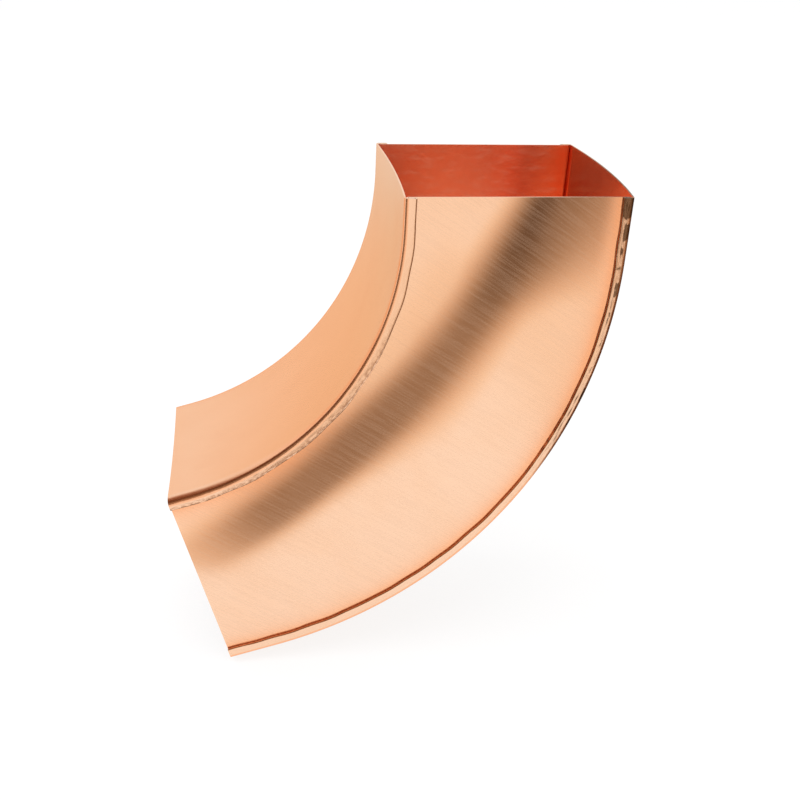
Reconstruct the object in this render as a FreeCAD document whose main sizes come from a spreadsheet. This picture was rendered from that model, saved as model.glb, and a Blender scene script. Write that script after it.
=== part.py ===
import FreeCAD, Part
import math
import os
import Sketcher

# Square copper downspout elbow, four folded sheets, all sizes in millimetres.
# Origin in the middle of the inlet, +Z up out of it, heel at +X, outlet turning down to -X.

doc = FreeCAD.newDocument("downspout_elbow")
os.makedirs("parts", exist_ok=True)

sheet = doc.addObject("Spreadsheet::Sheet", "Sizes")
sizes = {
    "clear_width": 100.5,      # inside of the duct, throat to heel
    "clear_depth": 95.5,       # inside of the duct, cheek to cheek
    "thickness": 0.7,          # copper sheet
    "lock_gap": 0.12,          # play between two layers of a seam
    "seam_height": 5.6,        # folded seam, measured down the cheek from the outer face
    "bend_angle": 74.3,        # from the inlet direction to the outlet direction, degrees
    "throat_radius": 137.5,    # duct surface on the inside of the bend
    "throat_inlet": 13.5,      # straight length of the throat at the inlet
    "throat_outlet": 8.5,      # straight length of the throat at the outlet
    "heel_tightening": 20.5,   # the heel arc is this much tighter than a concentric one
    "throat_bow": 1.5,         # the throat sheet hollows into the duct
    "heel_bow": 3.0,           # the heel sheet swells out of the duct
    "plate_inset": 1.0,        # flat of the cheek outside its plain plate
}
for row, (alias, value) in enumerate(sizes.items(), start=1):
    sheet.set("A%d" % row, alias)
    sheet.set("B%d" % row, str(value))
    sheet.setAlias("B%d" % row, alias)
doc.recompute()

half = sheet.clear_width / 2
deep = sheet.clear_depth / 2
thick = sheet.thickness
gap = sheet.lock_gap
angle = math.radians(sheet.bend_angle)

# A seam holds four layers: cheek, return of the wrapped sheet, cheek flange, wrapped sheet.
foldRadius = thick / 2 + gap
bendRadius = 1.5 * thick + 2 * gap
cornerOut = 1.5 * thick + gap
seamStraight = sheet.seam_height - 4 * thick - 3 * gap
heelRadius = sheet.throat_radius + sheet.clear_width - sheet.heel_tightening
heelExtra = sheet.heel_tightening * math.tan(angle / 2)

# The same derived sizes as expressions on the sheet, for the sketches.
half_x = "Sizes.clear_width / 2"
deep_x = "Sizes.clear_depth / 2"
fold_x = "(Sizes.thickness / 2 + Sizes.lock_gap)"
bend_x = "(1.5 * Sizes.thickness + 2 * Sizes.lock_gap)"
corner_x = "(1.5 * Sizes.thickness + Sizes.lock_gap)"
straight_x = "(Sizes.seam_height - 4 * Sizes.thickness - 3 * Sizes.lock_gap)"
heel_x = "(Sizes.throat_radius + Sizes.clear_width - Sizes.heel_tightening)"
extra_x = "Sizes.heel_tightening * tan(Sizes.bend_angle * 0.5 deg)"

vec = FreeCAD.Vector
upright = FreeCAD.Rotation(vec(1, 0, 0), 90)


def arc(x, y, radius, start, end):
    circle = Part.Circle(vec(x, y, 0), vec(0, 0, 1), radius)
    return Part.ArcOfCircle(circle, start, end)


def line(x0, y0, x1, y1):
    return Part.LineSegment(vec(x0, y0, 0), vec(x1, y1, 0))


def drive(sketch, kind, refs, value, name, expression):
    index = sketch.addConstraint(Sketcher.Constraint(kind, *refs, value))
    sketch.renameConstraint(index, name)
    sketch.setExpression("Constraints." + name, expression)


def away(sketch, kind, geo, pos, value, name, expression):
    # Distance of a point from the sketch origin, written so that it is positive.
    if value >= 0:
        drive(sketch, kind, (-1, 1, geo, pos), value, name, expression)
    else:
        drive(sketch, kind, (geo, pos, -1, 1), -value, name, expression)


def pathSketch(name, startX, startX_x, inlet, inlet_x, radius, radius_x, outlet, outlet_x):
    # Line, arc and line down the duct, turning towards -X.
    sketch = doc.addObject("Sketcher::SketchObject", name)
    sketch.Placement = FreeCAD.Placement(vec(0, 0, 0), upright)
    midX = startX - radius
    endX = midX + radius * math.cos(angle)
    endZ = -inlet - radius * math.sin(angle)
    sketch.addGeometry(line(startX, 0, startX, -inlet), False)
    sketch.addGeometry(arc(midX, -inlet, radius, -angle, 0), False)
    lastX = endX - outlet * math.sin(angle)
    lastZ = endZ - outlet * math.cos(angle)
    sketch.addGeometry(line(endX, endZ, lastX, lastZ), False)
    sketch.addConstraint(Sketcher.Constraint("Tangent", 0, 2, 1, 2))
    sketch.addConstraint(Sketcher.Constraint("Tangent", 1, 1, 2, 1))
    sketch.addConstraint(Sketcher.Constraint("PointOnObject", 0, 1, -1))
    sketch.addConstraint(Sketcher.Constraint("Vertical", 0))
    away(sketch, "DistanceX", 0, 1, startX, "start", startX_x)
    drive(sketch, "Distance", (0,), inlet, "inlet_length", inlet_x)
    drive(sketch, "Radius", (1,), radius, "bend_radius", radius_x)
    drive(sketch, "Angle", (1,), angle, "bend_angle", "Sizes.bend_angle * 1 deg")
    drive(sketch, "Distance", (2,), outlet, "outlet_length", outlet_x)
    return sketch


def wrapSketch(name, side, bow, bow_x):
    # Duct face of a throat (side -1) or heel (side +1) sheet, across the inlet.
    # Return, fold, wrapped flange, corner, bowed wall, and the same again.
    sketch = doc.addObject("Sketcher::SketchObject", name)
    lean = 2 * math.atan(bow / deep) * side
    lean_x = "(2 * atan(Sizes.%s / (%s)))" % (bow_x, deep_x)
    midX = side * (half - bendRadius)
    midY = deep + cornerOut
    flangeY = midY + bendRadius
    foldX = midX - side * seamStraight
    foldY = flangeY - foldRadius
    returnY = foldY - foldRadius
    bowY = midY + bendRadius * math.sin(lean)
    bowX = midX + side * bendRadius * math.cos(lean)
    bowRadius = bowY / math.sin(abs(lean))
    bowMid = bowX - bowRadius * math.cos(lean)
    turn = math.pi / 2
    for y in (-1, 1):
        sketch.addGeometry(line(midX, y * returnY, foldX, y * returnY), False)
        if side > 0:
            sketch.addGeometry(arc(foldX, y * foldY, foldRadius, turn, 3 * turn), False)
        else:
            sketch.addGeometry(arc(foldX, y * foldY, foldRadius, -turn, turn), False)
        sketch.addGeometry(line(foldX, y * flangeY, midX, y * flangeY), False)
        first = {(1, 1): lean, (1, -1): -turn, (-1, 1): turn, (-1, -1): math.pi - lean}[(side, y)]
        last = {(1, 1): turn, (1, -1): -lean, (-1, 1): math.pi + lean, (-1, -1): 3 * turn}[(side, y)]
        sketch.addGeometry(arc(midX, y * midY, bendRadius, first, last), False)
    sketch.addGeometry(arc(bowMid, 0, bowRadius, -abs(lean), abs(lean)), False)
    for y, base in ((-1, 0), (1, 4)):
        # Arcs run anticlockwise, so which end meets the line depends on the side.
        foldIn = 2 if side * y > 0 else 1
        bendIn = 2 if side * y > 0 else 1
        sketch.addConstraint(Sketcher.Constraint("Tangent", base, 2, base + 1, foldIn))
        sketch.addConstraint(Sketcher.Constraint("Tangent", base + 1, 3 - foldIn, base + 2, 1))
        sketch.addConstraint(Sketcher.Constraint("Tangent", base + 2, 2, base + 3, bendIn))
        bowEnd = 2 if y > 0 else 1
        sketch.addConstraint(Sketcher.Constraint("Tangent", base + 3, 3 - bendIn, 8, bowEnd))
        sketch.addConstraint(Sketcher.Constraint("Horizontal", base))
        sketch.addConstraint(Sketcher.Constraint("Horizontal", base + 2))
        tag = "front" if y < 0 else "back"
        drive(sketch, "Radius", (base + 1,), foldRadius, "fold_" + tag, fold_x)
        drive(sketch, "Radius", (base + 3,), bendRadius, "corner_" + tag, bend_x)
        drive(sketch, "Distance", (base,), seamStraight, "return_" + tag, straight_x)
        drive(sketch, "Distance", (base + 2,), seamStraight, "flange_" + tag, straight_x)
        away(sketch, "DistanceX", base + 3, 3, midX, "corner_x_" + tag, "%s - %s" % (half_x, bend_x))
        away(sketch, "DistanceY", base + 3, 3, y * midY, "corner_y_" + tag, "%s + %s" % (deep_x, corner_x))
    sine = "+" if side > 0 else "-"
    rise_x = "(%s + %s %s %s * sin(%s))" % (deep_x, corner_x, sine, bend_x, lean_x)
    drive(sketch, "Radius", (8,), bowRadius, "wall_bow", "%s / sin(%s)" % (rise_x, lean_x))
    return sketch


def hookSketch(name, side):
    # Outer face of the front cheek beside a seam: flat, half turn, flange.
    sketch = doc.addObject("Sketcher::SketchObject", name)
    topX = side * (half - bendRadius)
    lowX = topX - side * 2 * sheet.plate_inset
    endX = topX - side * seamStraight
    faceY = -deep - thick
    foldY = faceY - foldRadius
    turn = math.pi / 2
    sketch.addGeometry(line(lowX, faceY, topX, faceY), False)
    if side > 0:
        sketch.addGeometry(arc(topX, foldY, foldRadius, -turn, turn), False)
    else:
        sketch.addGeometry(arc(topX, foldY, foldRadius, turn, 3 * turn), False)
    sketch.addGeometry(line(topX, foldY - foldRadius, endX, foldY - foldRadius), False)
    into = 2 if side > 0 else 1
    sketch.addConstraint(Sketcher.Constraint("Tangent", 0, 2, 1, into))
    sketch.addConstraint(Sketcher.Constraint("Tangent", 1, 3 - into, 2, 1))
    sketch.addConstraint(Sketcher.Constraint("Horizontal", 0))
    sketch.addConstraint(Sketcher.Constraint("Horizontal", 2))
    drive(sketch, "Radius", (1,), foldRadius, "fold", fold_x)
    drive(sketch, "Distance", (0,), 2 * sheet.plate_inset, "flat", "2 * Sizes.plate_inset")
    drive(sketch, "Distance", (2,), seamStraight, "flange", straight_x)
    away(sketch, "DistanceX", 1, 3, topX, "fold_x", "%s - %s" % (half_x, bend_x))
    away(sketch, "DistanceY", 1, 3, foldY, "fold_y", "%s + Sizes.thickness + %s" % (deep_x, fold_x))
    return sketch


def outlineSketch(name):
    # Plain plate of the cheek, seen along Y: inlet edge, heel edge, outlet edge, throat edge.
    sketch = doc.addObject("Sketcher::SketchObject", name)
    sketch.Placement = FreeCAD.Placement(vec(0, -deep, 0), upright)
    sketch.setExpression("Placement.Base.y", "-Sizes.clear_depth / 2")
    inset = bendRadius + sheet.plate_inset
    inset_x = "%s + Sizes.plate_inset" % bend_x
    edges = []
    for side, inlet, radius, outlet in (
        (-1, sheet.throat_inlet, sheet.throat_radius, sheet.throat_outlet),
        (1, sheet.throat_inlet + heelExtra, heelRadius, sheet.throat_outlet + heelExtra),
    ):
        startX = side * (half - inset)
        bend = radius - side * inset
        midX = startX - bend
        endX = midX + bend * math.cos(angle)
        endZ = -inlet - bend * math.sin(angle)
        lastX = endX - outlet * math.sin(angle)
        lastZ = endZ - outlet * math.cos(angle)
        sketch.addGeometry(line(startX, 0, startX, -inlet), False)
        sketch.addGeometry(arc(midX, -inlet, bend, -angle, 0), False)
        sketch.addGeometry(line(endX, endZ, lastX, lastZ), False)
        edges.append((startX, lastX, lastZ))
    sketch.addGeometry(line(edges[0][0], 0, edges[1][0], 0), False)
    sketch.addGeometry(line(edges[0][1], edges[0][2], edges[1][1], edges[1][2]), False)
    for base, tag in ((0, "throat"), (3, "heel")):
        sketch.addConstraint(Sketcher.Constraint("Tangent", base, 2, base + 1, 2))
        sketch.addConstraint(Sketcher.Constraint("Tangent", base + 1, 1, base + 2, 1))
        sketch.addConstraint(Sketcher.Constraint("Vertical", base))
    for pos, base in ((1, 0), (2, 3)):
        sketch.addConstraint(Sketcher.Constraint("Coincident", 6, pos, base, 1))
        sketch.addConstraint(Sketcher.Constraint("Coincident", 7, pos, base + 2, 2))
    sketch.addConstraint(Sketcher.Constraint("PointOnObject", 0, 1, -1))
    sketch.addConstraint(Sketcher.Constraint("PointOnObject", 3, 1, -1))
    away(sketch, "DistanceX", 0, 1, edges[0][0], "throat_x", "%s - (%s)" % (half_x, inset_x))
    away(sketch, "DistanceX", 3, 1, edges[1][0], "heel_x", "%s - (%s)" % (half_x, inset_x))
    drive(sketch, "Distance", (0,), sheet.throat_inlet, "throat_inlet", "Sizes.throat_inlet")
    drive(sketch, "Distance", (2,), sheet.throat_outlet, "throat_outlet", "Sizes.throat_outlet")
    heelInlet_x = "Sizes.throat_inlet + " + extra_x
    heelOutlet_x = "Sizes.throat_outlet + " + extra_x
    throatBend_x = "Sizes.throat_radius + " + inset_x
    drive(sketch, "Distance", (3,), sheet.throat_inlet + heelExtra, "heel_inlet", heelInlet_x)
    drive(sketch, "Distance", (5,), sheet.throat_outlet + heelExtra, "heel_outlet", heelOutlet_x)
    drive(sketch, "Radius", (1,), sheet.throat_radius + inset, "throat_bend", throatBend_x)
    drive(sketch, "Radius", (4,), heelRadius - inset, "heel_bend", "%s - (%s)" % (heel_x, inset_x))
    drive(sketch, "Angle", (1,), angle, "throat_angle", "Sizes.bend_angle * 1 deg")
    drive(sketch, "Angle", (4,), angle, "heel_angle", "Sizes.bend_angle * 1 deg")
    return sketch


def sheetFrom(name, sketch, sign):
    # Sheet thickness laid on one side of the drawn face.
    section = doc.addObject("Part::Offset2D", name)
    section.Source = sketch
    section.Mode = "Skin"
    section.Fill = True
    section.Value = sign * thick
    section.setExpression("Value", "%d * Sizes.thickness" % sign)
    return section


def sweepAlong(name, section, path):
    swept = doc.addObject("Part::Sweep", name)
    swept.Sections = [section]
    swept.Spine = (path, ["Edge1", "Edge2", "Edge3"])
    swept.Solid = True
    swept.Frenet = False
    return swept


throatPath = pathSketch(
    "throat_path", -half, half_x, sheet.throat_inlet, "Sizes.throat_inlet",
    sheet.throat_radius, "Sizes.throat_radius", sheet.throat_outlet, "Sizes.throat_outlet",
)
heelPath = pathSketch(
    "heel_path", half, half_x, sheet.throat_inlet + heelExtra, "Sizes.throat_inlet + " + extra_x,
    heelRadius, heel_x, sheet.throat_outlet + heelExtra, "Sizes.throat_outlet + " + extra_x,
)
doc.recompute()

# Throat and heel: one sheet each, its edges wrapped round the cheek flanges.
throatFace = wrapSketch("throat_face", -1, sheet.throat_bow, "throat_bow")
heelFace = wrapSketch("heel_face", 1, sheet.heel_bow, "heel_bow")
throat = sweepAlong("throat", sheetFrom("throat_section", throatFace, -1), throatPath)
heel = sweepAlong("heel", sheetFrom("heel_section", heelFace, 1), heelPath)

# Cheek: a flat sheet with its two curved edges turned out and over.
plate = doc.addObject("Part::Extrusion", "cheek_plate")
plate.Base = outlineSketch("cheek_outline")
plate.DirMode = "Custom"
plate.Dir = vec(0, -1, 0)
plate.Solid = True
plate.LengthFwd = thick
plate.setExpression("LengthFwd", "Sizes.thickness")
throatHookFace = hookSketch("throat_hook_face", -1)
heelHookFace = hookSketch("heel_hook_face", 1)
throatHook = sweepAlong("throat_hook", sheetFrom("throat_hook_section", throatHookFace, 1), throatPath)
heelHook = sweepAlong("heel_hook", sheetFrom("heel_hook_section", heelHookFace, -1), heelPath)
cheekFront = doc.addObject("Part::MultiFuse", "cheek_front")
cheekFront.Shapes = [plate, throatHook, heelHook]
cheekFront.Refine = True
cheekBack = doc.addObject("Part::Mirroring", "cheek_back")
cheekBack.Source = cheekFront
cheekBack.Normal = vec(0, 1, 0)
doc.recompute()

for item in doc.Objects:
    if "Invalid" in item.State or "Error" in item.State:
        raise RuntimeError("did not build: " + item.Name)

for part in (throat, heel, cheekFront, cheekBack):
    part.Label = part.Name
    if part.Shape.isNull() or not part.Shape.isValid() or len(part.Shape.Solids) != 1:
        raise RuntimeError("not one sound solid: " + part.Label)
    part.Shape.exportStep("parts/" + part.Label + ".step")
    print(part.Label, round(part.Shape.Volume, 1), "mm3")
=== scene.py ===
import math

import bpy
import numpy as np
from mathutils import Matrix, Vector


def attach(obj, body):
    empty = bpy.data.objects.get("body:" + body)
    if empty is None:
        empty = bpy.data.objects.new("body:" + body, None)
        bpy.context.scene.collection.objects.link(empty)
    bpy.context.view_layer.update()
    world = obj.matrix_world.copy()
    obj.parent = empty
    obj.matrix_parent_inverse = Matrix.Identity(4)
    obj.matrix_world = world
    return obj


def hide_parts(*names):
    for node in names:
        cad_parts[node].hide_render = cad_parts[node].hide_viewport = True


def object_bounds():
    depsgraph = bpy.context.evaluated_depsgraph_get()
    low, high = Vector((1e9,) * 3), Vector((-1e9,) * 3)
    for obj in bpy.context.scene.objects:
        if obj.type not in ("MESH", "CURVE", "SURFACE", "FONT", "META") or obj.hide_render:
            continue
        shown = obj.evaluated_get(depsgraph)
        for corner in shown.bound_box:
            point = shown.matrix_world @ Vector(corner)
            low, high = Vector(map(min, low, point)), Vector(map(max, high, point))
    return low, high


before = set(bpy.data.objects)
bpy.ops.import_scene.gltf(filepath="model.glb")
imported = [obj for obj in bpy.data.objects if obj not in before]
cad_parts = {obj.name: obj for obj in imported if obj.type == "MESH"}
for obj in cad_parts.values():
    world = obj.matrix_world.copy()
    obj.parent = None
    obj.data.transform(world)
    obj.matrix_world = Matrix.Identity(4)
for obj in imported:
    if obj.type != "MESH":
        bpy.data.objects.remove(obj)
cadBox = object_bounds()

print("frame loaded:", sorted(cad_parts))

# sizes of the elbow in metres, as in the solids
elbow = {
    "clearWidth": 0.1005,      # throat to heel, inside
    "clearDepth": 0.0955,      # cheek to cheek, inside
    "sheet": 0.0007,
    "lockGap": 0.00012,        # play between two layers of a seam
    "seamHeight": 0.0056,
    "bendAngle": math.radians(74.3),
    "throatRadius": 0.1375,
    "throatInlet": 0.0135,
    "throatOutlet": 0.0085,
    "heelTightening": 0.0205,
}
half = elbow["clearWidth"] / 2
deep = elbow["clearDepth"] / 2
sheet = elbow["sheet"]
gap = elbow["lockGap"]
foldRadius = sheet / 2 + gap              # inside of a flattened fold
bendRadius = 1.5 * sheet + 2 * gap        # inside of the wrapped corner
cornerOut = 1.5 * sheet + gap             # corner centre, out from the cheek's inner face
seamOut = 4 * sheet + 3 * gap             # seam's outer face, out from the cheek's inner face
seamStraight = elbow["seamHeight"] - seamOut
uvScale = 10                              # UV units in a metre of sheet
sharpAngle = math.radians(38)             # edges steeper than this are shaded sharp


def smooth(low, high, value):
    part = np.clip((value - low) / (high - low), 0, 1)
    return part * part * (3 - 2 * part)


def bendStations(side, counts):
    # points down the duct face of the throat (-1) or heel (+1), with their outward directions
    angle = elbow["bendAngle"]
    inlet, outlet = elbow["throatInlet"], elbow["throatOutlet"]
    radius = elbow["throatRadius"]
    if side > 0:
        extra = elbow["heelTightening"] * math.tan(angle / 2)
        inlet, outlet = inlet + extra, outlet + extra
        radius = radius + elbow["clearWidth"] - elbow["heelTightening"]
    startX = side * half
    midX, midZ = startX - radius, -inlet
    turns = np.linspace(0, angle, counts[1] + 1)
    drops = np.linspace(0, inlet, counts[0] + 1)[:-1]
    runs = np.linspace(0, outlet, counts[2] + 1)[1:]
    ending = np.array([-math.sin(angle), -math.cos(angle)])
    bendEnd = np.array([midX + radius * math.cos(angle), midZ - radius * math.sin(angle)])
    straight = np.stack([np.full(len(drops), startX), -drops], 1)
    bend = np.stack([midX + radius * np.cos(turns), midZ - radius * np.sin(turns)], 1)
    tail = bendEnd + runs[:, None] * ending
    tilt = np.concatenate([np.zeros(len(drops)), turns, np.full(len(runs), angle)])
    outward = side * np.stack([np.cos(tilt), -np.sin(tilt)], 1)
    along = np.concatenate([drops, inlet + radius * turns, inlet + radius * angle + runs])
    return {"base": np.concatenate([straight, bend, tail]), "out": outward, "along": along}


def onSheet(route, rise, wide):
    # points at a rise out of the duct face and a place across it, for every station
    flat = route["base"][:, None, :] + route["out"][:, None, :] * rise[..., None]
    return np.stack([flat[..., 0], np.broadcast_to(wide, rise.shape), flat[..., 1]], -1)


def sheetMesh(name, near, far, uv, marks):
    # one closed sheet from its two faces, each a grid of stations by points
    rows, cols = near.shape[:2]
    count = rows * cols
    verts = np.concatenate([near.reshape(-1, 3), far.reshape(-1, 3)])
    index = np.arange(count).reshape(rows, cols)
    a, b, c, d = index[:-1, :-1], index[1:, :-1], index[1:, 1:], index[:-1, 1:]
    top = np.stack([a, b, c, d], -1).reshape(-1, 4)
    faces = [top, top[:, ::-1] + count]
    for rim in (index[0], index[:, -1], index[-1][::-1], index[:, 0][::-1]):
        faces.append(np.stack([rim[:-1], rim[1:], rim[1:] + count, rim[:-1] + count], -1))
    mesh = bpy.data.meshes.new(name)
    mesh.from_pydata(verts.tolist(), [], np.concatenate(faces).tolist())
    first, down, beside, under = near[0, 0], near[1, 0], near[0, 1], far[0, 0]
    if np.dot(np.cross(down - first, beside - first), first - under) > 0:
        mesh.flip_normals()
    loops = np.empty(len(mesh.loops), dtype=np.int32)
    mesh.loops.foreach_get("vertex_index", loops)
    flatUv = np.concatenate([uv.reshape(-1, 2), uv.reshape(-1, 2)])
    layer = mesh.uv_layers.new(name="rolled")
    layer.data.foreach_set("uv", flatUv[loops].astype(np.float32).ravel())
    for label, values in marks.items():
        pair = values if isinstance(values, tuple) else (values, values)    # near face, far face
        flatMarks = np.concatenate([part.ravel() for part in pair])
        attribute = mesh.attributes.new(label, "FLOAT", "POINT")
        attribute.data.foreach_set("value", flatMarks.astype(np.float32))
    mesh.validate()
    mesh.shade_smooth()
    mesh.set_sharp_from_angle(angle=sharpAngle)
    piece = bpy.data.objects.new(name, mesh)
    bpy.context.collection.objects.link(piece)
    return piece


# hammer blows along the seams, made once for each seam so that its layers follow each other
seamBlows = {
    "seed": 101,
    "length": 0.36,            # of seam that is beaten
    "spacing": 0.0042,         # mean distance between blows
    "spread": (0.35, 1.65),    # shares of that distance
    "places": (0.42, 1.0),     # down the strip, as shares of its height
    "reachAlong": (0.0011, 0.0030),
    "reachDown": (0.0007, 0.0015),
    "depth": (0.00004, 0.00019),
    "leastShare": 0.25,        # of the depth, on stretches that were hardly beaten
    "heelFlattened": 0.0008,   # the heel seams are beaten down this much
    "waves": 7,                # of the folded edge
    "wavePitch": (70, 330),
    "waveSize": (0.3, 1.0),
    "waveSum": 2.2,            # what the waves of one edge come to together
    "wander": 0.00016,         # how far the folded edge then wanders
    "wanderFrom": 0.0015,      # starts this far down the strip, and grows over the next stretch
    "wanderOver": 0.0030,
}


def makeBlows(seed):
    dice = np.random.default_rng(seed)
    blows = []
    place = 0.0
    while place < seamBlows["length"]:
        place += seamBlows["spacing"] * dice.uniform(*seamBlows["spread"])
        blows.append((
            place,
            dice.uniform(*seamBlows["places"]) * elbow["seamHeight"],
            dice.uniform(*seamBlows["reachAlong"]),
            dice.uniform(*seamBlows["reachDown"]),
            dice.uniform(*seamBlows["depth"]),
        ))
    waves = []
    for wave in range(seamBlows["waves"]):
        pitch = dice.uniform(*seamBlows["wavePitch"])
        start = dice.uniform(0, 2 * math.pi)
        waves.append((pitch, start, dice.uniform(*seamBlows["waveSize"])))
    return {"blows": blows, "waves": waves}


def dentField(seam, along, down):
    # how far each point is knocked towards the cheek, for places along a seam and down it
    field = np.zeros(np.broadcast(along, down).shape)
    for place, low, length, height, depth in seam["blows"]:
        near = np.abs(along - place) < 3 * length
        rows = np.nonzero(near.any(axis=1))[0]
        if len(rows) == 0:
            continue
        pick = slice(rows[0], rows[-1] + 1)
        reach = ((along[pick] - place) / length) ** 2 + ((down[pick] - low) / height) ** 2
        field[pick] += depth * np.exp(-reach)
    return field


def edgeWander(seam, along):
    total = sum(size * np.sin(pitch * along + start) for pitch, start, size in seam["waves"])
    wander = seamBlows["wander"] * total / seamBlows["waveSum"]
    return wander - np.interp(along, *seam["drawnIn"])


# slow hollows and swellings of thin sheet
hollows = {
    "waves": 9,
    "pitch": (28, 95),
    "fall": (0.4, 60),         # short waves are lower
    "waveSum": 4.0,            # brings them together to about one unit
    "wrapFade": 4,             # how soon they die away towards the seams
    "cheekFade": 7,
}


def dishing(x, z, seed):
    dice = np.random.default_rng(seed)
    field = np.zeros(x.shape)
    level, fall = hollows["fall"]
    for wave in range(hollows["waves"]):
        turn = dice.uniform(0, 2 * math.pi)
        pitch = dice.uniform(*hollows["pitch"])
        start = dice.uniform(0, 2 * math.pi)
        way = x * math.cos(turn) + z * math.sin(turn)
        field += np.sin(pitch * way + start) / (level + pitch / fall)
    return field / hollows["waveSum"]


# points on each part of a section
sectionPoints = {"bow": 30, "corner": 11, "strip": 7, "fold": 13, "lap": 4}


def wrapProfile(side, bow, fold):
    # section of a wrapped sheet from its middle to the end of its return: duct and outer face
    lean = side * 2 * math.atan(bow / deep)
    cornerY = deep + cornerOut
    bowRadius = (cornerY + bendRadius * math.sin(lean)) / math.sin(abs(lean))
    rest = -bendRadius + bendRadius * math.cos(lean)
    near, far = [], []
    for turn in np.linspace(0, abs(lean), sectionPoints["bow"])[:-1]:
        lift = rest + side * bowRadius * (math.cos(turn) - math.cos(lean))
        near.append((lift, bowRadius * math.sin(turn)))
        far.append((lift + sheet * math.cos(turn), (bowRadius + side * sheet) * math.sin(turn)))
    for turn in np.linspace(lean, math.pi / 2, sectionPoints["corner"]):
        for face, reach in ((near, bendRadius), (far, bendRadius + sheet)):
            face.append((-bendRadius + reach * math.cos(turn), cornerY + reach * math.sin(turn)))
    flangeY = cornerY + bendRadius
    for drop in np.linspace(0, seamStraight, sectionPoints["strip"])[1:-1]:
        near.append((-bendRadius - drop, flangeY))
        far.append((-bendRadius - drop, flangeY + sheet))
    foldU, foldY = -bendRadius - seamStraight, flangeY - foldRadius
    for turn in np.linspace(0, math.pi, sectionPoints["fold"]):
        tip = abs(math.sin(turn)) ** fold
        across = math.copysign(abs(math.cos(turn)) ** fold, math.cos(turn))
        for face, reach in ((near, foldRadius), (far, foldRadius + sheet)):
            face.append((foldU - reach * tip, foldY + reach * across))
    for drop in np.linspace(seamStraight, 0, sectionPoints["lap"])[1:]:
        near.append((-bendRadius - drop, foldY - foldRadius))
        far.append((-bendRadius - drop, foldY - foldRadius - sheet))
    return np.array(near), np.array(far)


seams = {}
for number, key in enumerate(("throatFront", "throatBack", "heelFront", "heelBack")):
    seams[key] = makeBlows(seamBlows["seed"] + number)
    seams[key]["drawnIn"] = ((0.0, seamBlows["length"]), (0.0, 0.0))
    seams[key]["flattened"] = seamBlows["heelFlattened"] if "heel" in key else 0.0
# the front heel seam is narrower near the inlet, as distances along it and amounts
seams["heelFront"]["drawnIn"] = ((0.0, 0.03, 0.15, 0.26), (0.0009, 0.0013, 0.0012, 0.0))
# how hard each stretch was beaten, as distances along the seam and weights; the weights set the
# dents and the brown bruises, which are partly painted dark reflections
beatenStretches = {
    "throatFront": ((0.0, 0.05, 0.09, 0.20), (0.05, 0.10, 0.9, 1.0)),
    "throatBack": ((0.0, 0.10, 0.20), (0.6, 0.9, 0.5)),
    "heelFront": ((0.0, 0.10, 0.16, 0.34), (1.0, 0.95, 0.75, 0.4)),
    "heelBack": ((0.0, 0.15, 0.34), (0.4, 0.9, 0.6)),
}


def beatenSheet(route, rise, wide, side):
    # points of a sheet with its seam layers pressed to their cheek and its folded edge wandering
    along = route["along"]
    points = onSheet(route, rise, wide)
    down = sheet - rise
    low = np.clip((down - seamBlows["wanderFrom"]) / seamBlows["wanderOver"], 0, 1)
    least = seamBlows["leastShare"]
    slides = np.zeros(rise.shape)
    for sign, end in ((-1, "Front"), (1, "Back")):
        key = ("throat" if side < 0 else "heel") + end
        seam = seams[key]
        reach = points[..., 1] * sign
        cover = np.clip((reach - deep - sheet) / (seamOut - sheet), 0, 1)
        weight = least + (1 - least) * np.interp(along, *beatenStretches[key])
        dents = dentField(seam, np.broadcast_to(along[:, None], rise.shape), down)
        points[..., 1] -= sign * (dents * weight[:, None] + seam["flattened"]) * cover
        slides += np.where(reach > deep + sheet, edgeWander(seam, along)[:, None] * low, 0.0)
    moved = onSheet(route, rise - slides, wide)
    moved[..., 1] = points[..., 1]
    return moved


# the front edge of the throat is dressed down more and more towards the outlet
edgeRoll = {
    "along": (0.07, 0.20),
    "across": (deep - 0.0020, deep + 0.0030),
    "drop": 0.00100,
}


def rollOff(side, along, rise, wide):
    if side > 0:
        return np.zeros(rise.shape)
    share = smooth(*edgeRoll["across"], -wide) * smooth(*edgeRoll["along"], along)[:, None]
    fade = 1 - np.clip((-bendRadius - rise) / seamStraight, 0, 1)
    return edgeRoll["drop"] * share * fade


# dark patches painted on the front heel seam as dark reflections in its beaten facets: place along,
# place down, reach along, reach down, weight
heelDarkReflections = (
    (0.0040, 0.52, 0.0062, 0.42, 1.0),
    (0.0155, 0.45, 0.0045, 0.32, 0.9),
    (0.0245, 0.55, 0.0024, 0.26, 0.65),
    (0.0330, 0.60, 0.0030, 0.30, 0.50),
    (0.0425, 0.52, 0.0052, 0.30, 0.65),
    (0.0560, 0.62, 0.0060, 0.24, 0.52),
    (0.0700, 0.55, 0.0040, 0.20, 0.50),
    (0.0860, 0.60, 0.0060, 0.16, 0.46),
    (0.1050, 0.50, 0.0040, 0.16, 0.42),
    (0.0970, 0.27, 0.0050, 0.10, 0.75),
    (0.1120, 0.25, 0.0030, 0.09, 0.65),
)


# painted shadow in the crevice along the throat's folded edge in front, higher and paler towards
# the outlet
throatCreaseShade = {
    "place": 0.93,             # down the strip, as a share of its height
    "climb": 0.085,
    "along": (0.05, 0.12),
    "weights": (0.85, 0.60),
    "reach": 0.035,
}
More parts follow.
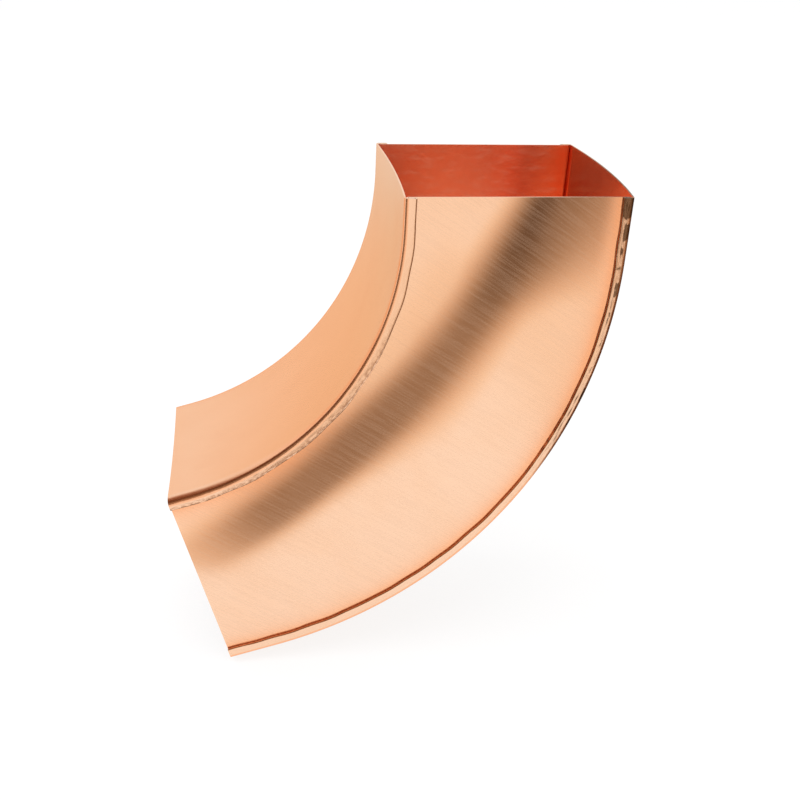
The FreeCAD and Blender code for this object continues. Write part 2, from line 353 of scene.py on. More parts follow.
# painted shadow in the crevice between the heel's folded edge and the cheek, paler towards the
# outlet
heelCreaseShade = {
    "down": (0.862, 0.874),
    "along": (0.0, 0.09, 0.19),
    "weights": (0.75, 0.6, 0.25),
}
seamMarks = {
    "from": 0.0012,            # out from the cheek's inner face, and full after as much again
    "heelFold": 0.8,           # below this share of the heel strip is its folded edge
    "foldMark": 0.30,
    "stripMark": 0.25,         # bruises and painted dark reflections fall all over the heel strip, more where it was beaten
    "beatenMark": 0.25,
    # painted warm reflection of copper in copper by the corners, as a share
    "reflectionEdge": 0.8,
    "farEdge": 0.15,           # the throat's far edge gets little of the painted warm reflection
}


# painted shadow along the throat's folded edge in front
def throatPaintedShade(along, down, wide):
    place = throatCreaseShade["place"]
    place = place - throatCreaseShade["climb"] * smooth(*throatCreaseShade["along"], along)[:, None]
    crease = np.exp(-((down[None, :] - place) / throatCreaseShade["reach"]) ** 2)
    weight = np.interp(along, throatCreaseShade["along"], throatCreaseShade["weights"])[:, None]
    return crease * weight * (wide < -deep - 2 * sheet)


# painted dark reflections on the front heel seam, and painted shadow in the crevice at its folded
# edge
def heelPaintedShade(along, down, wide):
    field = np.zeros((len(along), len(down)))
    for place, low, length, height, weight in heelDarkReflections:
        reach = ((along[:, None] - place) / length) ** 4 + ((down[None, :] - low) / height) ** 4
        field = np.maximum(field, weight * np.exp(-reach))
    crease = smooth(*heelCreaseShade["down"], down) * (np.abs(wide) > deep + sheet)
    fade = np.interp(along, heelCreaseShade["along"], heelCreaseShade["weights"])[:, None]
    return field * (wide < -deep) + crease * fade


def wrappedMarks(side, along, near, reflectionReach):
    # where the material shows bruises, which are partly painted dark reflections, painted shade and
    # dark reflections on the seams, and a painted warm reflection by the edges
    rows, wide = len(along), near[:, 1]
    down = (sheet - near[:, 0]) / elbow["seamHeight"]
    word = "throat" if side < 0 else "heel"
    front = np.interp(along, *beatenStretches[word + "Front"])[:, None]
    rear = np.interp(along, *beatenStretches[word + "Back"])[:, None]
    beaten = np.where(wide[None, :] < 0, front, rear)
    start = seamMarks["from"]
    seamMark = np.clip((np.abs(wide) - deep - start) / start, 0, 1) * beaten
    downMark = np.broadcast_to(np.clip(down, 0, 1), seamMark.shape)
    if side > 0:
        strip = seamMarks["stripMark"] + seamMarks["beatenMark"] * beaten
        downMark = np.where(downMark > seamMarks["heelFold"], seamMarks["foldMark"], strip)
    # painted warm reflection, strongest right at the corners
    edge = np.clip((np.abs(wide) - deep + reflectionReach) / reflectionReach, 0, 1) ** 2
    farEdge = (side < 0) & (wide > 0)
    edge = edge * np.where(farEdge, seamMarks["farEdge"], seamMarks["reflectionEdge"])
    return {
        "seam": seamMark,
        "down": downMark,
        "warm": np.broadcast_to(edge * (near[:, 0] > -bendRadius), (rows, len(near))),
        "paintedshade": (throatPaintedShade if side < 0 else heelPaintedShade)(along, down, wide),
        "inside": (np.ones(seamMark.shape), np.zeros(seamMark.shape)),
    }


def wrappedSheet(name, values):
    side = values["side"]
    near, far = wrapProfile(side, values["bow"], values["fold"])
    mirror = np.array([1, -1])
    near = np.concatenate([near[:0:-1] * mirror, near])
    far = np.concatenate([far[:0:-1] * mirror, far])
    route = bendStations(side, values["stations"])
    along = route["along"]
    across = np.concatenate([[0], np.cumsum(np.hypot(*np.diff(near, axis=0).T))])
    across -= across[len(across) // 2]
    faces = []
    for line in (near, far):
        rise = np.broadcast_to(line[:, 0], (len(along), len(line))).copy()
        wide = np.broadcast_to(line[:, 1], rise.shape)
        ripple = dishing(wide, np.broadcast_to(along[:, None], rise.shape), values["seed"])
        ease = np.minimum(1, hollows["wrapFade"] * np.clip(1 - np.abs(wide) / deep, 0, 1))
        rise += values["dishing"] * ripple * ease
        rise -= rollOff(side, along, rise, wide)
        faces.append(beatenSheet(route, rise, wide, side))
    uv = np.stack(np.broadcast_arrays(across[None, :], along[:, None]), -1) * uvScale
    marks = wrappedMarks(side, along, near, values["reflectionReach"])
    piece = sheetMesh(name, faces[0], faces[1], uv, marks)
    print("wrapped sheet", name, len(piece.data.polygons), "faces")
    return piece


throatSheet = {
    "side": -1,
    "bow": 0.0015,
    "fold": 0.8,               # 1 for a round folded edge, less for a flattened one
    "stations": (14, 190, 9),  # rows in the inlet, bend and outlet
    "seed": 11,
    "dishing": 0.00010,
    "reflectionReach": 0.0025,
}
heelSheet = {
    "side": 1,
    "bow": 0.003,
    "fold": 0.45,
    "stations": (28, 270, 24),
    "seed": 12,
    "dishing": 0.00010,
    "reflectionReach": 0.0025,
}
throat = wrappedSheet("throatSheet", throatSheet)
heel = wrappedSheet("heelSheet", heelSheet)

cheekSheet = {
    "stations": (22, 240, 18),
    "flatPoints": 64,
    "dishing": 0.00013,
    "rolled": math.radians(-33),   # direction of the rolling lines, from +X towards +Z
    "seamCover": 0.004,            # width beside each edge that the seams hide
    "warmHeel": 0.0045,            # reach of the painted warm reflection beyond it
    "throatReflectionReach": 0.006,
    "throatReflectionFrom": (0.35, 0.75),      # by the throat it comes in towards the outlet
}


def hookProfile():
    # edge of a cheek from its flat to the end of the turned flange: outer and inner face
    near, far = [], []
    turnY = deep + sheet + foldRadius
    for turn in np.linspace(0, math.pi, sectionPoints["fold"]):
        for face, reach in ((near, foldRadius), (far, foldRadius + sheet)):
            face.append((-bendRadius + reach * math.sin(turn), turnY - reach * math.cos(turn)))
    for drop in np.linspace(0, seamStraight, sectionPoints["lap"])[1:]:
        near.append((-bendRadius - drop, turnY + foldRadius))
        far.append((-bendRadius - drop, turnY + foldRadius + sheet))
    return np.array(near), np.array(far)


def cheek(name, sign, seed):
    routes = [bendStations(side, cheekSheet["stations"]) for side in (-1, 1)]
    rows = len(routes[0]["along"])
    steps = np.linspace(0, 1, cheekSheet["flatPoints"] + 2)[1:-1]
    ease = np.clip(np.minimum(steps, 1 - steps) * hollows["cheekFade"], 0, 1)
    grids = []
    for line in hookProfile():
        strips = []
        for route, side in zip(routes, (-1, 1)):
            rise = np.broadcast_to(line[:, 0], (rows, len(line))).copy()
            wide = np.broadcast_to(line[:, 1] * sign, rise.shape)
            rise -= rollOff(side, route["along"], rise, wide)
            strips.append(beatenSheet(route, rise, wide, side))
        start, stop = strips[0][:, 0], strips[1][:, 0]
        share = steps[None, :, None]
        flat = start[:, None] * (1 - share) + stop[:, None] * share
        ripple = dishing(flat[..., 0], flat[..., 2], seed)
        flat[..., 1] += sign * cheekSheet["dishing"] * ripple * ease[None, :]
        grids.append(np.concatenate([strips[0][:, ::-1], flat, strips[1]], 1))
    x, z = grids[0][..., 0], grids[0][..., 2]
    cosine, sine = math.cos(cheekSheet["rolled"]), math.sin(cheekSheet["rolled"])
    uv = np.stack([z * cosine - x * sine, x * cosine + z * sine], -1) * uvScale
    width = np.linalg.norm(routes[1]["base"] - routes[0]["base"], axis=1)[:, None]
    order = np.concatenate([np.zeros(len(line)), steps, np.ones(len(line))])[None, :]
    fromHeel = np.clip((1 - order) * width - cheekSheet["seamCover"], 0, None)
    fromThroat = np.clip(order * width - cheekSheet["seamCover"], 0, None)
    # painted warm reflection of the seams in the cheek beside them
    towardsOutlet = smooth(*cheekSheet["throatReflectionFrom"], np.linspace(0, 1, rows)[:, None])
    reflectionMark = np.exp(-fromHeel / cheekSheet["warmHeel"])
    reflectionMark = reflectionMark + towardsOutlet * np.exp(-fromThroat / cheekSheet["throatReflectionReach"])
    plain = np.zeros(x.shape)
    piece = sheetMesh(name, grids[0], grids[1], uv, {
        "seam": plain,
        "down": plain,
        "warm": np.clip(reflectionMark, 0, 1),
        "paintedshade": plain,
        "inside": (plain, plain + 1),
    })
    print("cheek", name, len(piece.data.polygons), "faces")
    return piece


cheekFront = cheek("cheekFrontSheet", sign=-1, seed=21)
cheekBack = cheek("cheekBackSheet", sign=1, seed=22)

pieces = {"throat": throat, "heel": heel, "cheek_front": cheekFront, "cheek_back": cheekBack}
for node, piece in pieces.items():
    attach(piece, "root")
    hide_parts(node)


def addNode(tree, kind, place, **settings):
    node = tree.nodes.new(kind)
    node.location = place
    for key, value in settings.items():
        setattr(node, key, value)
    return node


def setInputs(node, **values):
    for key, value in values.items():
        node.inputs[key].default_value = value


def feed(tree, socket, value):
    # a socket takes either a fixed value or another node's output
    if isinstance(value, bpy.types.NodeSocket):
        tree.links.new(value, socket)
    else:
        socket.default_value = value


def maths(tree, operation, values, place):
    node = addNode(tree, "ShaderNodeMath", place, operation=operation)
    for socket, value in zip(node.inputs, values):
        feed(tree, socket, value)
    return node.outputs[0]


def remap(tree, source, low, high, place):
    clamp = addNode(tree, "ShaderNodeMapRange", place, interpolation_type="SMOOTHSTEP")
    setInputs(clamp, **{"From Min": low, "From Max": high})
    tree.links.new(source, clamp.inputs["Value"])
    return clamp.outputs["Result"]


def mixColour(tree, factor, first, second, place):
    mix = addNode(tree, "ShaderNodeMix", place, data_type="RGBA")
    feed(tree, mix.inputs["A"], first)
    feed(tree, mix.inputs["B"], second)
    feed(tree, mix.inputs["Factor"], factor)
    return mix.outputs["Result"]


def sheetNoise(tree, source, scale, detail, place, roughness=0.6, kind="POINT", **spread):
    # noise drawn out along one direction of the sheet
    mapping = addNode(tree, "ShaderNodeMapping", place, vector_type=kind)
    setInputs(mapping, **spread)
    tree.links.new(source, mapping.inputs["Vector"])
    cloud = addNode(tree, "ShaderNodeTexNoise", (place[0] + 200, place[1]))
    setInputs(cloud, Scale=scale, Detail=detail, Roughness=roughness)
    tree.links.new(mapping.outputs["Vector"], cloud.inputs["Vector"])
    return cloud.outputs["Fac"]


def makeGroup(name, inputs, outputs):
    tree = bpy.data.node_groups.new(name, "ShaderNodeTree")
    tree.interface.new_socket("Sheet", in_out="INPUT", socket_type="NodeSocketVector")
    for label in inputs:
        tree.interface.new_socket(label, in_out="INPUT", socket_type="NodeSocketFloat")
    for label in outputs:
        tree.interface.new_socket(label, in_out="OUTPUT", socket_type="NodeSocketFloat")
    entry = addNode(tree, "NodeGroupInput", (-900, 0))
    leave = addNode(tree, "NodeGroupOutput", (700, 0))
    return tree, entry.outputs, leave.inputs


def rolledLinesGroup():
    # fine lines left by the rolling mill, and a few longer scratches
    tree, entry, leave = makeGroup("rolledLines", (), ("Lines", "Scratches"))
    source = entry["Sheet"]
    fine = sheetNoise(tree, source, 195, 2, (-650, 400), Scale=(1.0, 0.030, 1.0))
    wide = sheetNoise(tree, source, 105, 1, (-650, 150), Scale=(1.0, 0.025, 1.0))
    both = maths(tree, "ADD", (fine, wide), (-150, 300))
    tree.links.new(maths(tree, "MULTIPLY", (both, 0.5), (50, 300)), leave["Lines"])
    cuts = sheetNoise(
        tree, source, 95, 1, (-650, -200), roughness=0.3,
        Rotation=(0, 0, 0.16), Scale=(1.0, 0.05, 1.0),
    )
    tree.links.new(remap(tree, cuts, 0.70, 0.76, (-200, -200)), leave["Scratches"])
    return tree


def handlingGroup():
    # soft patches where hands and a beginning of oxide have dulled the sheet
    tree, entry, leave = makeGroup("handling", (), ("Patches", "Specks"))
    source = entry["Sheet"]
    broad = sheetNoise(tree, source, 3.2, 4, (-650, 200), Scale=(1.0, 0.7, 1.0))
    tree.links.new(remap(tree, broad, 0.38, 0.72, (-200, 200)), leave["Patches"])
    small = sheetNoise(tree, source, 60, 2, (-650, -200), Scale=(1.0, 0.8, 1.0))
    tree.links.new(remap(tree, small, 0.66, 0.74, (-200, -200)), leave["Specks"])
    return tree


def hammeredGroup():
    # brown bruises where the seam was beaten, thickest towards the folded edge and partly painted
    # dark reflections in the dents, and painted shade and dark reflections on the seams
    tree, entry, leave = makeGroup(
        "hammered", ("Seam", "Down", "Paintedshade"), ("BruiseAndReflection", "Relief", "Stains"),
    )
    source = entry["Sheet"]
    marks = sheetNoise(tree, source, 105, 3, (-650, 250), Scale=(1.0, 0.45, 1.0))
    spots = remap(tree, marks, 0.42, 0.64, (-200, 250))
    lower = remap(tree, entry["Down"], 0.30, 0.75, (-200, 0))
    both = maths(tree, "MULTIPLY", (spots, lower), (100, 150))
    bruiseAndReflection = maths(tree, "MULTIPLY", (both, entry["Seam"]), (300, 150))
    tree.links.new(bruiseAndReflection, leave["BruiseAndReflection"])
    relief = maths(tree, "MULTIPLY", (marks, entry["Seam"]), (300, -100))
    tree.links.new(relief, leave["Relief"])
    # painted shade and dark reflections on the seams, broken up by noise
    cloud = sheetNoise(tree, source, 60, 4, (-650, -300), Scale=(1.0, 0.5, 1.0))
    patchyShade = maths(tree, "MULTIPLY_ADD", (cloud, 0.9, entry["Paintedshade"]), (0, -300))
    tree.links.new(remap(tree, patchyShade, 0.88, 1.02, (300, -300)), leave["Stains"])
    return tree


def smearsGroup():
    # faint level smears on the inside of the duct
    tree, entry, leave = makeGroup("smears", ("Inside",), ("Smears",))
    cloud = sheetNoise(
        tree, entry["Sheet"], 36, 4, (-650, 100), kind="TEXTURE",
        Rotation=(0, 0, cheekSheet["rolled"]), Scale=(1.0, 3.5, 1.0),
    )
    streaks = remap(tree, cloud, 0.46, 0.70, (-200, 100))
    kept = maths(tree, "MULTIPLY", (streaks, entry["Inside"]), (100, 0))
    tree.links.new(kept, leave["Smears"])
    return tree


groups = (rolledLinesGroup(), handlingGroup(), hammeredGroup(), smearsGroup())
print("node groups made")


def copperMaterial(name, values):
    material = bpy.data.materials.new(name)
    material.use_nodes = True
    tree = material.node_tree
    shader = tree.nodes["Principled BSDF"]
    shader.location = (700, 0)
    sheetUv = addNode(tree, "ShaderNodeUVMap", (-1100, 0), uv_map="rolled")
    marks = {}
    for row, label in enumerate(("seam", "down", "warm", "paintedshade", "inside")):
        mark = addNode(tree, "ShaderNodeAttribute", (-1100, -250 - 200 * row), attribute_name=label)
        marks[label] = mark.outputs["Fac"]
    masks = {}
    for row, group in enumerate(groups):
        box = addNode(tree, "ShaderNodeGroup", (-800, 250 - 250 * row), node_tree=group)
        tree.links.new(sheetUv.outputs["UV"], box.inputs["Sheet"])
        for socket in box.inputs[1:]:
            tree.links.new(marks[socket.name.lower()], socket)
        masks.update((socket.name, socket) for socket in box.outputs)

    colour = values["bright"]
    hair = remap(tree, masks["Lines"], 0.48, 0.60, (-700, 1200))
    layers = (
        (masks["Patches"], values["dulling"], values["dull"]),
        # painted warm reflection of copper in copper beside the seams
        (marks["warm"], values["warmReflectionShare"], values["warm"]),
        (masks["Specks"], values["specks"], values["brown"]),
        (masks["Scratches"], values["scratches"], values["brown"]),
        # brown hammer bruises, partly painted dark reflections in the dented facets
        (masks["BruiseAndReflection"], values["bruiseAndReflectionShare"], values["brown"]),
        # painted crease shadows and dark reflections on the seams
        (masks["Stains"], values["stains"], values["paintedshade"]),
        (hair, values["hairlines"], values["brown"]),
    )
    for row, (mask, amount, tone) in enumerate(layers):
        share = maths(tree, "MULTIPLY", (mask, amount), (-500, 300 + 180 * row))
        colour = mixColour(tree, share, colour, tone, (-300 + 160 * row, 300))
    tree.links.new(colour, shader.inputs["Base Color"])

    furrows = remap(tree, masks["Lines"], 0.42, 0.60, (-700, -200))
    rough = values["roughness"]
    steps = (
        (furrows, values["lineRoughness"]),
        (masks["Patches"], values["patchRoughness"]),
        (masks["BruiseAndReflection"], values["bruiseRoughness"]),
        (marks["inside"], values["insideRoughness"]),
    )
    for row, (mask, amount) in enumerate(steps):
        part = maths(tree, "MULTIPLY", (mask, amount), (-500, -200 - 180 * row))
        rough = maths(tree, "ADD", (rough, part), (-300 + 200 * row, -200))
    tree.links.new(rough, shader.inputs["Roughness"])

    lineBump = addNode(tree, "ShaderNodeBump", (300, -400))
    setInputs(lineBump, Strength=values["lineBump"], Distance=values["lineRelief"])
    tree.links.new(masks["Lines"], lineBump.inputs["Height"])
    seamBump = addNode(tree, "ShaderNodeBump", (500, -400))
    setInputs(seamBump, Strength=values["seamBump"], Distance=values["seamRelief"])
    tree.links.new(masks["Relief"], seamBump.inputs["Height"])
    tree.links.new(lineBump.outputs["Normal"], seamBump.inputs["Normal"])
    tree.links.new(seamBump.outputs["Normal"], shader.inputs["Normal"])

    # worn metal scatters a little light: furrows outside, smears inside
    outside = maths(tree, "SUBTRACT", (1.0, marks["inside"]), (-300, -900))
    lined = maths(tree, "MULTIPLY", (furrows, values["furrowScatter"]), (-300, -1100))
    lined = maths(tree, "MULTIPLY", (outside, lined), (-100, -900))
    smeared = maths(tree, "MULTIPLY", (masks["Smears"], values["smearScatter"]), (-100, -1100))
    scatter = maths(tree, "ADD", (lined, smeared), (100, -900))
    metal = maths(tree, "SUBTRACT", (1.0, scatter), (300, -900))
    tree.links.new(metal, shader.inputs["Metallic"])
    shader.inputs["Anisotropic"].default_value = values["anisotropy"]
    tangent = addNode(
        tree, "ShaderNodeTangent", (300, -650), direction_type="UV_MAP", uv_map="rolled",
    )
    tree.links.new(tangent.outputs["Tangent"], shader.inputs["Tangent"])
    return material


cheekCopper = {
    "bright": (0.955, 0.625, 0.430, 1),
    "dull": (0.935, 0.570, 0.360, 1),
    # tone of the painted warm reflection beside the seams
    "warm": (0.960, 0.440, 0.220, 1),
    "brown": (0.340, 0.130, 0.055, 1),
    # tone of the painted crease shadows and dark reflections
    "paintedshade": (0.185, 0.095, 0.048, 1),
    "dulling": 0.35,
    "warmReflectionShare": 0.9,
    "specks": 0.05,
    "scratches": 0.05,
    # share of the brown bruises, partly painted dark reflections
    "bruiseAndReflectionShare": 0.62,
    "stains": 0.92,
    "hairlines": 0.004,
    "furrowScatter": 0.12,
    "smearScatter": 0.11,
    "roughness": 0.12,
    "lineRoughness": 0.015,
    "patchRoughness": 0.03,
    "bruiseRoughness": 0.12,
    "insideRoughness": 0.07,
    "lineBump": 0.08,
    "lineRelief": 0.00002,     # in metres
    "seamBump": 0.5,
    "seamRelief": 0.00012,
    "anisotropy": 0.80,
}
wrapCopper = {
    **cheekCopper,
    "scratches": 0.0,
    "hairlines": 0.0,
    "furrowScatter": 0.01,
    "smearScatter": 0.03,
    "roughness": 0.22,
    "lineRoughness": 0.01,
    "insideRoughness": -0.09,
    "lineBump": 0.06,
    "anisotropy": 0.25,
}
cheekMaterial = copperMaterial("cheekCopper", cheekCopper)
wrapMaterial = copperMaterial("wrapCopper", wrapCopper)
for piece in (cheekFront, cheekBack):
    piece.data.materials.append(cheekMaterial)
for piece in (throat, heel):
    piece.data.materials.append(wrapMaterial)
print("copper laid on")

# white studio: pale floor, bright surroundings, a darker corner up and left of the view
studio = {
    "floorDrop": 0.0004,
    "floorSize": 6.0,
    "floorColour": (0.20, 0.20, 0.20, 1),
    "floorGlow": 0.80,         # with the light that falls on it, the floor comes out white
    "darkCorner": Vector((-0.62, -0.05, 0.785)).normalized(),
    "cornerSteps": (
        (0.58, (1.0, 1.0, 1.0, 1)),
        (0.66, (0.62, 0.30, 0.14, 1)),
        (0.71, (0.29, 0.105, 0.038, 1)),
        (0.80, (0.23, 0.080, 0.028, 1)),
        (0.88, (0.15, 0.055, 0.018, 1)),
    ),
}
floorLevel = cadBox[0][2] - studio["floorDrop"]


def studioWorld():
    world = bpy.data.worlds.new("studio")
    bpy.context.scene.world = world
    world.use_nodes = True
    tree = world.node_tree
    tree.nodes.clear()
    where = addNode(tree, "ShaderNodeTexCoord", (-900, 0))
    facing = addNode(tree, "ShaderNodeVectorMath", (-700, 0), operation="DOT_PRODUCT")
    facing.inputs[1].default_value = studio["darkCorner"]
    tree.links.new(where.outputs["Generated"], facing.inputs[0])
    shades = addNode(tree, "ShaderNodeValToRGB", (-500, 0))
    stops = shades.color_ramp.elements
    for number, (place, colour) in enumerate(studio["cornerSteps"]):
        stop = stops[number] if number < 2 else stops.new(place)
        stop.position = place
        stop.color = colour
    tree.links.new(facing.outputs["Value"], shades.inputs["Fac"])
    mirrored = addNode(tree, "ShaderNodeLightPath", (-500, 300)).outputs["Is Glossy Ray"]
    seen = mixColour(tree, mirrored, (1, 1, 1, 1), shades.outputs["Color"], (-100, 0))
    ground = addNode(tree, "ShaderNodeBackground", (100, 0))
    tree.links.new(seen, ground.inputs["Color"])
    out = addNode(tree, "ShaderNodeOutputWorld", (300, 0))
    tree.links.new(ground.outputs["Background"], out.inputs["Surface"])


def studioFloor():
    mesh = bpy.data.meshes.new("floor")
    reach = studio["floorSize"]
    corners = [(-reach, -reach), (reach, -reach), (reach, reach), (-reach, reach)]
    mesh.from_pydata([(x, y, floorLevel) for x, y in corners], [], [(0, 1, 2, 3)])
    floor = bpy.data.objects.new("floor", mesh)
    bpy.context.collection.objects.link(floor)
    material = bpy.data.materials.new("paleFloor")
    material.use_nodes = True
    tree = material.node_tree
    tree.nodes.clear()
    matt = addNode(tree, "ShaderNodeBsdfDiffuse", (-200, 100))
    matt.inputs["Color"].default_value = studio["floorColour"]
    path = addNode(tree, "ShaderNodeLightPath", (-700, -100)).outputs
    seen = maths(tree, "MAXIMUM", (path["Is Camera Ray"], path["Is Glossy Ray"]), (-500, -100))
    seen = maths(tree, "MAXIMUM", (seen, path["Is Transmission Ray"]), (-350, -100))
    glow = addNode(tree, "ShaderNodeEmission", (-200, -100))
    strength = maths(tree, "MULTIPLY", (seen, studio["floorGlow"]), (-350, -300))
    tree.links.new(strength, glow.inputs["Strength"])
    joined = addNode(tree, "ShaderNodeAddShader", (0, 0))
    tree.links.new(matt.outputs[0], joined.inputs[0])
    tree.links.new(glow.outputs[0], joined.inputs[1])
    out = addNode(tree, "ShaderNodeOutputMaterial", (200, 0))
    tree.links.new(joined.outputs[0], out.inputs["Surface"])
    mesh.materials.append(material)


studioWorld()
studioFloor()


def boardMaterial():
    # glows in the board's own tint, and is clear where the tint has no cover
    material = bpy.data.materials.new("reflectionBoard")
    material.use_nodes = True
    tree = material.node_tree
    tree.nodes.clear()
    tint = addNode(tree, "ShaderNodeAttribute", (-500, 0), attribute_name="tint")
    glow = addNode(tree, "ShaderNodeEmission", (-250, 0))
    clear = addNode(tree, "ShaderNodeBsdfTransparent", (-250, 150))
    mix = addNode(tree, "ShaderNodeMixShader", (0, 0))
    out = addNode(tree, "ShaderNodeOutputMaterial", (200, 0))
    tree.links.new(tint.outputs["Color"], glow.inputs["Color"])
    tree.links.new(tint.outputs["Alpha"], mix.inputs["Fac"])
    tree.links.new(clear.outputs[0], mix.inputs[1])
    tree.links.new(glow.outputs[0], mix.inputs[2])
    tree.links.new(mix.outputs[0], out.inputs["Surface"])
    return material


tinted = boardMaterial()


def reflectionBoard(name, values, tintAt):
    # flat board that only reflections see, with a colour and a cover for each place on it
    steps = values["steps"]
    u, v = np.meshgrid(np.linspace(0, 1, steps), np.linspace(0, 1, steps))
    across, upward = np.array(values["across"]), np.array(values["upward"])
    points = np.array(values["corner"]) + u[..., None] * across + v[..., None] * upward
    index = np.arange(steps * steps).reshape(steps, steps)
    quads = np.stack([index[:-1, :-1], index[:-1, 1:], index[1:, 1:], index[1:, :-1]], -1)
    mesh = bpy.data.meshes.new(name)
    mesh.from_pydata(points.reshape(-1, 3).tolist(), [], quads.reshape(-1, 4).tolist())
    colour, cover = tintAt(points, values)
    tint = mesh.attributes.new("tint", "FLOAT_COLOR", "POINT")
    flat = np.concatenate([np.broadcast_to(colour, points.shape), cover[..., None]], -1)
    tint.data.foreach_set("color", flat.reshape(-1).astype(np.float32))
    mesh.materials.append(tinted)
    board = bpy.data.objects.new(name, mesh)
    bpy.context.collection.objects.link(board)
    board.visible_camera = False
    board.visible_diffuse = False
    board.visible_shadow = False


def blend(places, colours, value):
    # colours met on the way along a scale
    bands = zip(*colours)
    return np.stack([np.interp(value, places, band) for band in bands], -1)


# slanting shade mirrored by the front cheek
shadeBoard = {
    "corner": (-0.30, -0.13, floorLevel + 0.001),
    "across": (0.50, 0, 0),
    "upward": (0, 0, 0.30),
    "steps": 220,
    "start": (0.045, -0.030),          # the shade runs from here to there, in X and Z
    "end": (-0.140, -0.225),
    "bow": (-0.012, 0.053, -0.021),    # and bows aside, by powers of its length
    "bowLength": 0.135,
    "depth": 0.97,
    "lowSkirt": 0.32,                  # faint shade below and above it
    "highSkirt": 0.20,
    "topTint": 0.14,
    "places": (0.0, 0.25, 0.5, 0.75, 1.0),
    "colours": (
        (0.97, 0.80, 0.60), (0.94, 0.70, 0.44), (0.74, 0.512, 0.333),
        (0.425, 0.287, 0.183), (0.105, 0.067, 0.042),
    ),
    "cover": (0.0, 0.5, 0.8, 0.95, 1.0),
}


def shadeTint(points, values):
    x, z = points[..., 0], points[..., 2]
    start, end = np.array(values["start"]), np.array(values["end"])
    axis = (end - start) / np.linalg.norm(end - start)
    flat = points[..., [0, 2]] - start
    along = flat @ axis
    turns = along / values["bowLength"]
    middle = sum(size * turns ** power for power, size in enumerate(values["bow"]))
    off = flat @ np.array([-axis[1], axis[0]]) - middle

    depth = values["depth"] - 0.135 * smooth(0.02, 0.09, along)      # lighter half way down
    depth += 0.015 * smooth(0.12, 0.18, along)
    depth *= 1 - 0.09 * smooth(0.0, 0.014, off) * (1 - smooth(0.0, 0.05, along))
    depth *= 1 - 0.03 * smooth(0.17, 0.21, along)
    depth *= 1 - 0.9 * smooth(0.23, 0.34, along)                         # gone at the outlet
    left = -0.035 + 0.007 * (1 - smooth(0.0, 0.06, along))
    core = -0.001 - 0.010 * smooth(0.08, 0.18, along)
    right = 0.041 + 0.086 * (1 - smooth(-0.03, 0.06, along))             # wide near the inlet
    right -= 0.021 * smooth(0.10, 0.21, along)
    dark = smooth(left, core, off) * (1 - smooth(0.004, right, off)) * depth

    lowSkirt = smooth(-0.080, -0.012, off) * (1 - smooth(-0.005, 0.01, off))
    lowSkirt *= smooth(0.02, 0.07, along) * (1 - smooth(0.16, 0.24, along))
    highSkirt = smooth(0.0, 0.03, off) * (1 - smooth(0.06, 0.11, off))
    highSkirt *= 1 - smooth(0.05, 0.12, along)
    dark = np.maximum(dark, values["lowSkirt"] * lowSkirt)
    dark = np.maximum(dark, values["highSkirt"] * highSkirt)
    dark *= 1 - 0.75 * smooth(0.067, 0.078, x) * smooth(-0.09, -0.06, z)  # light by the heel seam
    dark = np.maximum(dark, values["topTint"] * smooth(-0.11, -0.06, z))
    colour = blend(values["places"], values["colours"], dark)
    return colour, np.interp(dark, values["places"], values["cover"])


reflectionBoard("shadeBoard", shadeBoard, shadeTint)

# warm wall behind, mirrored by the throat, with a paler part behind the inlet
warmWall = {
    "corner": (-0.9, 0.25, floorLevel + 0.001),
    "across": (1.5, 0, 0),
    "upward": (0, 0, 0.60),
    "steps": 80,
    "heights": (-0.25, -0.116, -0.091, -0.05, -0.026, 0.0, 0.10),
    "colours": (
        (0.90, 0.60, 0.38), (0.915, 0.61, 0.375), (0.955, 0.67, 0.455), (0.99, 0.78, 0.635),
        (1.0, 0.91, 0.84), (1.0, 0.98, 0.95), (1.0, 1.0, 1.0),
    ),
    "inletHeights": (-0.25, -0.105, -0.069, -0.03, 0.10),
    "inletColours": (
        (0.84, 0.58, 0.375), (0.855, 0.605, 0.40), (0.855, 0.71, 0.56),
        (0.90, 0.80, 0.68), (1.0, 0.95, 0.90),
    ),
    "inletFrom": (-0.16, -0.10),
    "rightShade": 0.85,        # dark to the right, for the heel's rounded edge
    "shadeFrom": (0.10, 0.16),
    "top": (0.075, 0.13),
}


def wallTint(points, values):
    x, z = points[..., 0], points[..., 2]
    outlet = blend(values["heights"], values["colours"], z)
    inlet = blend(values["inletHeights"], values["inletColours"], z)
    share = smooth(*values["inletFrom"], x)[..., None]
    shade = 1 - values["rightShade"] * smooth(*values["shadeFrom"], x)[..., None]
    return (outlet * (1 - share) + inlet * share) * shade, 1 - smooth(*values["top"], z)


reflectionBoard("warmWall", warmWall, wallTint)

# board across the duct, mirrored by the inside of the inlet: the heel sees its throat side
ductBoard = {
    "corner": (-0.0620, -0.0470, -0.075),
    "across": (0.1065, 0, 0),
    "upward": (0, 0.0940, 0),
    "steps": 40,
    "places": (-0.050, -0.022, -0.006, 0.046),
    "colours": (
        (0.20, 0.004, 0.006), (0.25, 0.02, 0.018), (0.90, 0.38, 0.31), (0.98, 0.42, 0.36),
    ),
}


def ductTint(points, values):
    colour = blend(values["places"], values["colours"], points[..., 0])
    return colour, np.ones(points.shape[:-1])


reflectionBoard("ductBoard", ductBoard, ductTint)

# dark standing boards left and right in front, for the rounded seam corners
leftBoard = {
    "corner": (-0.45, -0.07, floorLevel + 0.001),
    "across": (0.05, -0.42, 0),
    "upward": (0, 0, 0.7),
    "steps": 12,
    "colour": (0.045, 0.020, 0.008),
    "top": (0.25, 0.45),
}
rightBoard = {
    **leftBoard,
    "corner": (0.28, 0.24, floorLevel + 0.001),
    "across": (0.03, -0.77, 0),
    "colour": (0.13, 0.07, 0.04),
}


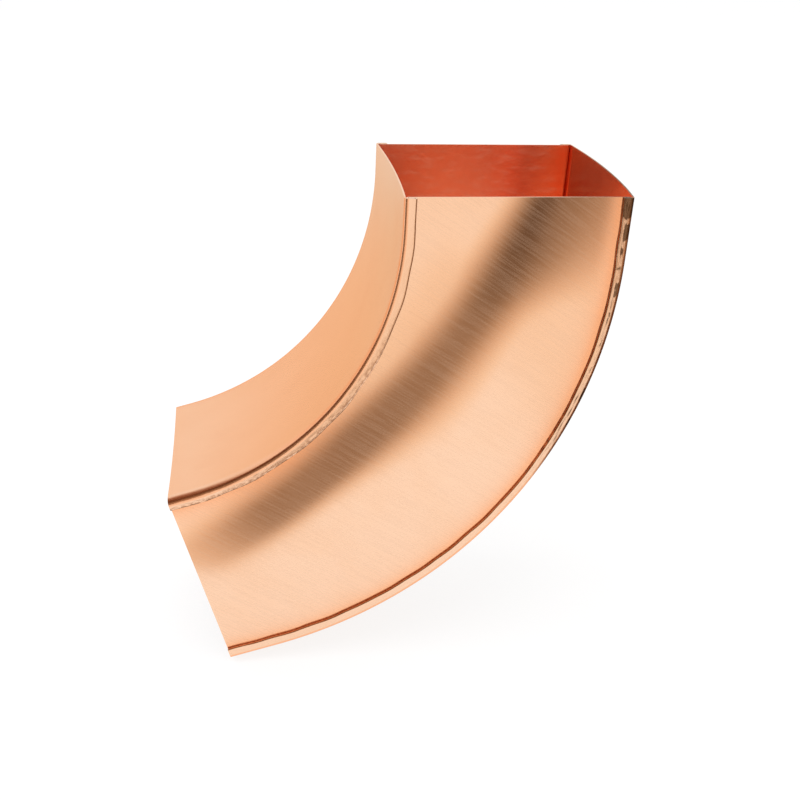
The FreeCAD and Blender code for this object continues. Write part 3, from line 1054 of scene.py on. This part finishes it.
def darkTint(points, values):
    return np.array(values["colour"]), 1 - smooth(*values["top"], points[..., 2])


reflectionBoard("leftBoard", leftBoard, darkTint)
reflectionBoard("rightBoard", rightBoard, darkTint)

# dark card on the floor, for the lower part of the heel's rounded edge
lowCard = {
    "corner": (0.09, -0.32, floorLevel + 0.002),
    "across": (0.21, 0, 0),
    "upward": (0, 0.56, 0),
    "steps": 30,
    "colour": rightBoard["colour"],
    "edge": (0.10, 0.15),
}


def cardTint(points, values):
    return np.array(values["colour"]), smooth(*values["edge"], points[..., 0])


reflectionBoard("lowCard", lowCard, cardTint)
print("reflection boards set up")

softLamp = {
    "place": Vector((-0.5, -0.3, 1.2)),
    "aim": Vector((0, 0, -0.2)),
    "size": 1.6,
    "power": 11.0,
}
lampData = bpy.data.lights.new("softLamp", "AREA")
lampData.shape = "DISK"
lampData.size = softLamp["size"]
lampData.energy = softLamp["power"]
lamp = bpy.data.objects.new("softLamp", lampData)
lamp.location = softLamp["place"]
lamp.rotation_euler = (softLamp["aim"] - softLamp["place"]).to_track_quat("-Z", "Y").to_euler()
lamp.visible_camera = False
lamp.visible_glossy = False
bpy.context.collection.objects.link(lamp)

viewCamera = {
    "eye": (-0.12129, -0.48699, 0.12497),
    "forward": (0.1170, 0.8757, -0.4685),
    "up": (0.0261, 0.4688, 0.8829),
    "lens": 47.537,
    "sensor": 36,
    "shift": (0.0392, 0.0312),     # the photograph is framed a little off its axis
    "clipStart": 0.01,
}
cameraData = bpy.data.cameras.new("viewCamera")
cameraData.lens = viewCamera["lens"]
cameraData.sensor_width = viewCamera["sensor"]
cameraData.shift_x, cameraData.shift_y = viewCamera["shift"]
cameraData.clip_start = viewCamera["clipStart"]
camera = bpy.data.objects.new("viewCamera", cameraData)
cameraBack = -Vector(viewCamera["forward"]).normalized()
cameraSide = Vector(viewCamera["up"]).cross(cameraBack).normalized()
turned = Matrix((cameraSide, cameraBack.cross(cameraSide), cameraBack)).transposed().to_4x4()
camera.matrix_world = Matrix.Translation(viewCamera["eye"]) @ turned
bpy.context.collection.objects.link(camera)

scene = bpy.context.scene
scene.camera = camera
scene.view_settings.view_transform = "Standard"
scene.cycles.max_bounces = 24          # the inside of the duct mirrors itself many times
scene.cycles.glossy_bounces = 20
print("studio set")

bpy.context.view_layer.update()
